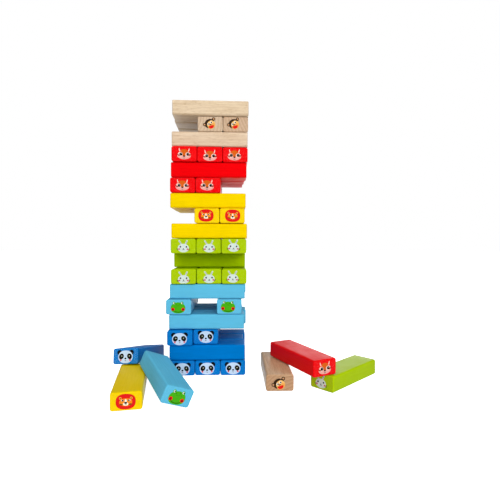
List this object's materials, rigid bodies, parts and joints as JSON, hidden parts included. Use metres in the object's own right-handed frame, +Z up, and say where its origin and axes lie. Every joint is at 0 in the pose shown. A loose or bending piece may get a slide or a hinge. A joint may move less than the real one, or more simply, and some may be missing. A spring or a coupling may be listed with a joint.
{
  "type": "tumbling tower game",
  "caption": "Children's stacking tower of painted wooden blocks with printed animal faces; a block has been pulled from each colour band.",
  "frame": {"origin": "on the ground at the centre of the tower's footprint, in the underside of the bottom middle block", "axes": "+Z up, +X to the right as seen from the front, -Y to the front where the printed ends and the pulled blocks are"},
  "size_m": [0.2577, 0.1659, 0.2715],
  "materials": {
    "dark_blue_paint": "satin paint over sanded wood",
    "light_blue_paint": "satin paint over sanded wood",
    "green_paint": "satin paint over sanded wood",
    "yellow_paint": "satin paint over sanded wood",
    "red_paint": "satin paint over sanded wood",
    "bare_wood": "bare sanded wood, clear satin sealer"
  },
  "bodies": {
    "layer_01_left": {"layer_01_left": "dark_blue_paint"},
    "layer_01_middle": {"layer_01_middle": "dark_blue_paint"},
    "layer_01_right": {"layer_01_right": "dark_blue_paint"},
    "layer_02_front": {"layer_02_front": "dark_blue_paint"},
    "layer_02_middle": {"layer_02_middle": "dark_blue_paint"},
    "layer_02_back": {"layer_02_back": "dark_blue_paint"},
    "layer_03_left": {"layer_03_left": "dark_blue_paint"},
    "layer_03_middle": {"layer_03_middle": "dark_blue_paint"},
    "layer_04_front": {"layer_04_front": "light_blue_paint"},
    "layer_04_middle": {"layer_04_middle": "light_blue_paint"},
    "layer_04_back": {"layer_04_back": "light_blue_paint"},
    "layer_05_left": {"layer_05_left": "light_blue_paint"},
    "layer_05_right": {"layer_05_right": "light_blue_paint"},
    "layer_06_front": {"layer_06_front": "light_blue_paint"},
    "layer_06_middle": {"layer_06_middle": "light_blue_paint"},
    "layer_06_back": {"layer_06_back": "light_blue_paint"},
    "layer_07_left": {"layer_07_left": "green_paint"},
    "layer_07_middle": {"layer_07_middle": "green_paint"},
    "layer_07_right": {"layer_07_right": "green_paint"},
    "layer_08_middle": {"layer_08_middle": "green_paint"},
    "layer_08_back": {"layer_08_back": "green_paint"},
    "layer_09_left": {"layer_09_left": "green_paint"},
    "layer_09_middle": {"layer_09_middle": "green_paint"},
    "layer_09_right": {"layer_09_right": "green_paint"},
    "layer_10_front": {"layer_10_front": "yellow_paint"},
    "layer_10_middle": {"layer_10_middle": "yellow_paint"},
    "layer_10_back": {"layer_10_back": "yellow_paint"},
    "layer_11_middle": {"layer_11_middle": "yellow_paint"},
    "layer_11_right": {"layer_11_right": "yellow_paint"},
    "layer_12_front": {"layer_12_front": "yellow_paint"},
    "layer_12_middle": {"layer_12_middle": "yellow_paint"},
    "layer_12_back": {"layer_12_back": "yellow_paint"},
    "layer_13_left": {"layer_13_left": "red_paint"},
    "layer_13_middle": {"layer_13_middle": "red_paint"},
    "layer_14_front": {"layer_14_front": "red_paint"},
    "layer_14_middle": {"layer_14_middle": "red_paint"},
    "layer_14_back": {"layer_14_back": "red_paint"},
    "layer_15_left": {"layer_15_left": "red_paint"},
    "layer_15_middle": {"layer_15_middle": "red_paint"},
    "layer_15_right": {"layer_15_right": "red_paint"},
    "layer_16_front": {"layer_16_front": "bare_wood"},
    "layer_16_middle": {"layer_16_middle": "bare_wood"},
    "layer_16_back": {"layer_16_back": "bare_wood"},
    "layer_17_middle": {"layer_17_middle": "bare_wood"},
    "layer_17_right": {"layer_17_right": "bare_wood"},
    "layer_18_front": {"layer_18_front": "bare_wood"},
    "layer_18_middle": {"layer_18_middle": "bare_wood"},
    "layer_18_back": {"layer_18_back": "bare_wood"},
    "loose_lion": {"loose_lion": "yellow_paint"},
    "loose_panda": {"loose_panda": "dark_blue_paint"},
    "loose_frog": {"loose_frog": "light_blue_paint"},
    "loose_monkey": {"loose_monkey": "bare_wood"},
    "loose_squirrel": {"loose_squirrel": "red_paint"},
    "loose_rabbit": {"loose_rabbit": "green_paint"}
  },
  "joints": [
    {"name": "loose_lion_pull", "type": "slide", "parent": "layer_01_middle", "child": "loose_lion", "axis": [-0.1633, 0.9866, 0], "range_m": [-0.076, 0]},
    {"name": "loose_panda_lift", "type": "slide", "parent": "layer_01_middle", "child": "loose_panda", "axis": [0, 0, 1], "range_m": [0, 0.06]},
    {"name": "loose_frog_lift", "type": "slide", "parent": "layer_01_middle", "child": "loose_frog", "axis": [0, 0, 1], "range_m": [0, 0.06]},
    {"name": "loose_monkey_pull", "type": "slide", "parent": "layer_01_middle", "child": "loose_monkey", "axis": [0, 1, 0], "range_m": [-0.076, 0]},
    {"name": "loose_squirrel_pull", "type": "slide", "parent": "layer_01_middle", "child": "loose_squirrel", "axis": [-0.421, 0.907, 0], "range_m": [-0.076, 0]},
    {"name": "loose_rabbit_pull", "type": "slide", "parent": "layer_01_middle", "child": "loose_rabbit", "axis": [0.7385, 0.6743, 0], "range_m": [0, 0.076]},
    {"name": "layer_01_left_pull", "type": "slide", "parent": "layer_01_middle", "child": "layer_01_left", "axis": [0, 1, 0], "range_m": [0, 0.076]},
    {"name": "layer_01_right_pull", "type": "slide", "parent": "layer_01_middle", "child": "layer_01_right", "axis": [0, 1, 0], "range_m": [-0.076, 0.076]},
    {"name": "layer_02_front_pull", "type": "slide", "parent": "layer_01_middle", "child": "layer_02_front", "axis": [1, 0, 0], "range_m": [-0.008, 0.016]},
    {"name": "layer_02_middle_pull", "type": "slide", "parent": "layer_01_middle", "child": "layer_02_middle", "axis": [1, 0, 0], "range_m": [-0.008, 0.076]},
    {"name": "layer_02_back_pull", "type": "slide", "parent": "layer_01_middle", "child": "layer_02_back", "axis": [1, 0, 0], "range_m": [-0.008, 0.076]},
    {"name": "layer_03_left_pull", "type": "slide", "parent": "layer_01_middle", "child": "layer_03_left", "axis": [0, 1, 0], "range_m": [-0.076, 0.076]},
    {"name": "layer_03_middle_pull", "type": "slide", "parent": "layer_01_middle", "child": "layer_03_middle", "axis": [0, 1, 0], "range_m": [-0.076, 0.076]},
    {"name": "layer_04_front_pull", "type": "slide", "parent": "layer_01_middle", "child": "layer_04_front", "axis": [1, 0.007, 0], "range_m": [-0.076, 0.076]},
    {"name": "layer_04_middle_pull", "type": "slide", "parent": "layer_01_middle", "child": "layer_04_middle", "axis": [1, 0.007, 0], "range_m": [-0.076, 0.076]},
    {"name": "layer_04_back_pull", "type": "slide", "parent": "layer_01_middle", "child": "layer_04_back", "axis": [1, 0.007, 0], "range_m": [-0.076, 0.076]},
    {"name": "layer_05_left_pull", "type": "slide", "parent": "layer_01_middle", "child": "layer_05_left", "axis": [0.0052, 1, 0], "range_m": [-0.076, 0.076]},
    {"name": "layer_05_right_pull", "type": "slide", "parent": "layer_01_middle", "child": "layer_05_right", "axis": [0.0052, 1, 0], "range_m": [-0.076, 0.076]},
    {"name": "layer_06_front_pull", "type": "slide", "parent": "layer_01_middle", "child": "layer_06_front", "axis": [0.9999, -0.0105, 0], "range_m": [-0.076, 0.076]},
    {"name": "layer_06_middle_pull", "type": "slide", "parent": "layer_01_middle", "child": "layer_06_middle", "axis": [0.9999, -0.0105, 0], "range_m": [-0.076, 0.076]},
    {"name": "layer_06_back_pull", "type": "slide", "parent": "layer_01_middle", "child": "layer_06_back", "axis": [0.9999, -0.0105, 0], "range_m": [-0.076, 0.076]},
    {"name": "layer_07_left_pull", "type": "slide", "parent": "layer_01_middle", "child": "layer_07_left", "axis": [0, 1, 0], "range_m": [-0.076, 0.076]},
    {"name": "layer_07_middle_pull", "type": "slide", "parent": "layer_01_middle", "child": "layer_07_middle", "axis": [0, 1, 0], "range_m": [-0.076, 0.076]},
    {"name": "layer_07_right_pull", "type": "slide", "parent": "layer_01_middle", "child": "layer_07_right", "axis": [0, 1, 0], "range_m": [-0.076, 0.076]},
    {"name": "layer_08_middle_pull", "type": "slide", "parent": "layer_01_middle", "child": "layer_08_middle", "axis": [1, 0.0087, 0], "range_m": [-0.076, 0.076]},
    {"name": "layer_08_back_pull", "type": "slide", "parent": "layer_01_middle", "child": "layer_08_back", "axis": [1, 0.0087, 0], "range_m": [-0.076, 0.076]},
    {"name": "layer_09_left_pull", "type": "slide", "parent": "layer_01_middle", "child": "layer_09_left", "axis": [0.007, 1, 0], "range_m": [-0.076, 0.076]},
    {"name": "layer_09_middle_pull", "type": "slide", "parent": "layer_01_middle", "child": "layer_09_middle", "axis": [0.007, 1, 0], "range_m": [-0.076, 0.076]},
    {"name": "layer_09_right_pull", "type": "slide", "parent": "layer_01_middle", "child": "layer_09_right", "axis": [0.007, 1, 0], "range_m": [-0.076, 0.076]},
    {"name": "layer_10_front_pull", "type": "slide", "parent": "layer_01_middle", "child": "layer_10_front", "axis": [1, 0, 0], "range_m": [-0.076, 0.076]},
    {"name": "layer_10_middle_pull", "type": "slide", "parent": "layer_01_middle", "child": "layer_10_middle", "axis": [1, 0, 0], "range_m": [-0.076, 0.076]},
    {"name": "layer_10_back_pull", "type": "slide", "parent": "layer_01_middle", "child": "layer_10_back", "axis": [1, 0, 0], "range_m": [-0.076, 0.076]},
    {"name": "layer_11_middle_pull", "type": "slide", "parent": "layer_01_middle", "child": "layer_11_middle", "axis": [-0.0052, 1, 0], "range_m": [-0.076, 0.076]},
    {"name": "layer_11_right_pull", "type": "slide", "parent": "layer_01_middle", "child": "layer_11_right", "axis": [-0.0052, 1, 0], "range_m": [-0.076, 0.076]},
    {"name": "layer_12_front_pull", "type": "slide", "parent": "layer_01_middle", "child": "layer_12_front", "axis": [0.9999, 0.0105, 0], "range_m": [-0.076, 0.076]},
    {"name": "layer_12_middle_pull", "type": "slide", "parent": "layer_01_middle", "child": "layer_12_middle", "axis": [0.9999, 0.0105, 0], "range_m": [-0.076, 0.076]},
    {"name": "layer_12_back_pull", "type": "slide", "parent": "layer_01_middle", "child": "layer_12_back", "axis": [0.9999, 0.0105, 0], "range_m": [-0.076, 0.076]},
    {"name": "layer_13_left_pull", "type": "slide", "parent": "layer_01_middle", "child": "layer_13_left", "axis": [-0.0122, 0.9999, 0], "range_m": [-0.076, 0.076]},
    {"name": "layer_13_middle_pull", "type": "slide", "parent": "layer_01_middle", "child": "layer_13_middle", "axis": [-0.0122, 0.9999, 0], "range_m": [-0.076, 0.076]},
    {"name": "layer_14_front_pull", "type": "slide", "parent": "layer_01_middle", "child": "layer_14_front", "axis": [0.9999, 0.0157, 0], "range_m": [-0.076, 0.076]},
    {"name": "layer_14_middle_pull", "type": "slide", "parent": "layer_01_middle", "child": "layer_14_middle", "axis": [0.9999, 0.0157, 0], "range_m": [-0.076, 0.076]},
    {"name": "layer_14_back_pull", "type": "slide", "parent": "layer_01_middle", "child": "layer_14_back", "axis": [0.9999, 0.0157, 0], "range_m": [-0.076, 0.076]},
    {"name": "layer_15_left_pull", "type": "slide", "parent": "layer_01_middle", "child": "layer_15_left", "axis": [-0.007, 1, 0], "range_m": [-0.076, 0.076]},
    {"name": "layer_15_middle_pull", "type": "slide", "parent": "layer_01_middle", "child": "layer_15_middle", "axis": [-0.007, 1, 0], "range_m": [-0.076, 0.076]},
    {"name": "layer_15_right_pull", "type": "slide", "parent": "layer_01_middle", "child": "layer_15_right", "axis": [-0.007, 1, 0], "range_m": [-0.076, 0.076]},
    {"name": "layer_16_front_pull", "type": "slide", "parent": "layer_01_middle", "child": "layer_16_front", "axis": [1, 0.0087, 0], "range_m": [-0.076, 0.076]},
    {"name": "layer_16_middle_pull", "type": "slide", "parent": "layer_01_middle", "child": "layer_16_middle", "axis": [1, 0.0087, 0], "range_m": [-0.076, 0.076]},
    {"name": "layer_16_back_pull", "type": "slide", "parent": "layer_01_middle", "child": "layer_16_back", "axis": [1, 0.0087, 0], "range_m": [-0.076, 0.076]},
    {"name": "layer_17_middle_pull", "type": "slide", "parent": "layer_01_middle", "child": "layer_17_middle", "axis": [0, 1, 0], "range_m": [-0.076, 0.076]},
    {"name": "layer_17_right_pull", "type": "slide", "parent": "layer_01_middle", "child": "layer_17_right", "axis": [0, 1, 0], "range_m": [-0.076, 0.076]},
    {"name": "layer_18_front_lift", "type": "slide", "parent": "layer_01_middle", "child": "layer_18_front", "axis": [0, 0, 1], "range_m": [0, 0.06]},
    {"name": "layer_18_middle_lift", "type": "slide", "parent": "layer_01_middle", "child": "layer_18_middle", "axis": [0, 0, 1], "range_m": [0, 0.06]},
    {"name": "layer_18_back_lift", "type": "slide", "parent": "layer_01_middle", "child": "layer_18_back", "axis": [0, 0, 1], "range_m": [0, 0.06]}
  ]
}
